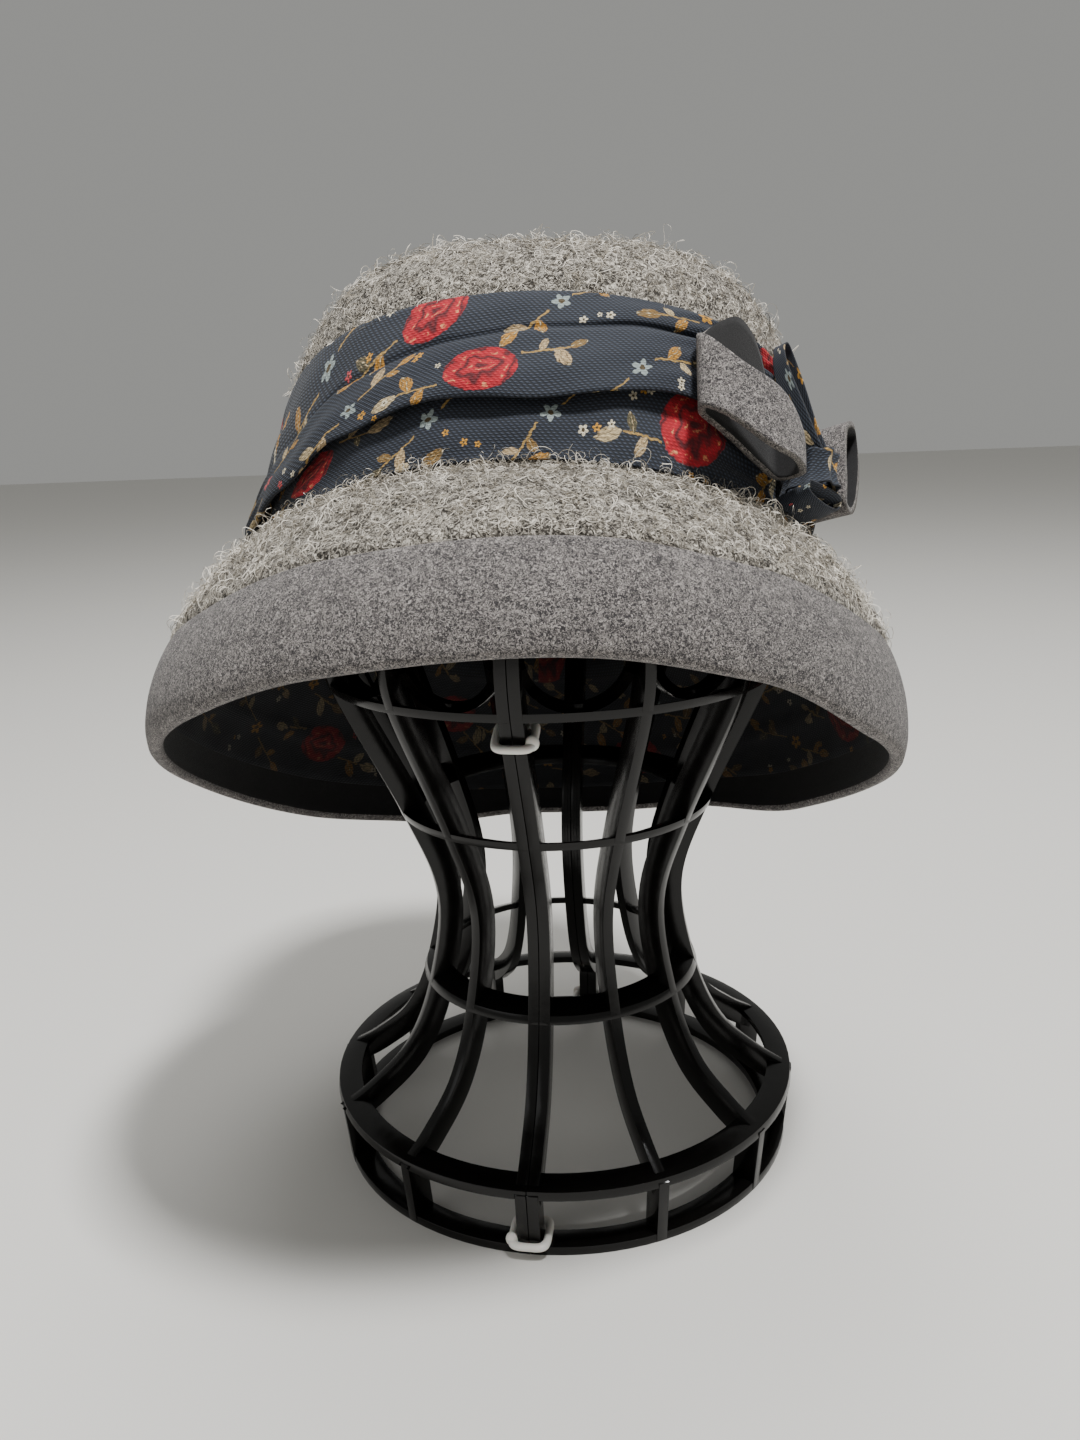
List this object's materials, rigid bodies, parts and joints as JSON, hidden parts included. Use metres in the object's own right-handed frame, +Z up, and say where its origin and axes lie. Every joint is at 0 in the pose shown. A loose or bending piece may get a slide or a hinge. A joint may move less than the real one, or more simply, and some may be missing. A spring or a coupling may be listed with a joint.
{
  "type": "cloche hat on a cage hat stand",
  "caption": "Boiled-wool cloche hat with a pleated printed band and a felt and print bow, tipped back on a black moulded cage hat stand.",
  "frame": {"origin": "on the floor, under the middle of the whole", "axes": "+Z up, -Y the way the hat's front faces, +X towards the bow"},
  "size_m": [0.2436, 0.2512, 0.3145],
  "materials": {
    "black_plastic": "glossy moulded plastic",
    "white_nylon": "satin moulded nylon",
    "curly_wool": "boiled wool with curly fibres standing off it",
    "melton_wool": "smooth heather grey felted wool",
    "printed_cotton": "plain-woven cotton with a small floral print on navy",
    "lining_cotton": "thin printed cotton lining"
  },
  "bodies": {
    "root": {"crown_side": "curly_wool", "crown_tip": "melton_wool", "brim_top": "curly_wool", "brim_edge": "melton_wool", "lining": "lining_cotton", "hat_band": "printed_cotton", "bow_felt_front": "melton_wool", "bow_felt_back": "melton_wool", "bow_print_upper": "printed_cotton", "bow_print_lower": "printed_cotton", "bow_knot": "printed_cotton", "stand_right_ring_floor": "black_plastic", "stand_right_ring_base": "black_plastic", "stand_right_ring_waist": "black_plastic", "stand_right_ring_neck": "black_plastic", "stand_right_ring_head": "black_plastic", "stand_right_ring_top": "black_plastic", "stand_right_rib_1": "black_plastic", "stand_right_rib_2": "black_plastic", "stand_right_rib_3": "black_plastic", "stand_right_rib_4": "black_plastic", "stand_right_rib_5": "black_plastic", "stand_right_rib_6": "black_plastic", "stand_right_rib_7": "black_plastic", "stand_left_ring_floor": "black_plastic", "stand_left_ring_base": "black_plastic", "stand_left_ring_waist": "black_plastic", "stand_left_ring_neck": "black_plastic", "stand_left_ring_head": "black_plastic", "stand_left_ring_top": "black_plastic", "stand_left_rib_1": "black_plastic", "stand_left_rib_2": "black_plastic", "stand_left_rib_3": "black_plastic", "stand_left_rib_4": "black_plastic", "stand_left_rib_5": "black_plastic", "stand_left_rib_6": "black_plastic", "stand_left_rib_7": "black_plastic", "clip_front_top": "white_nylon", "clip_front_bottom": "white_nylon", "clip_rear_bottom": "white_nylon"}
  },
  "joints": []
}
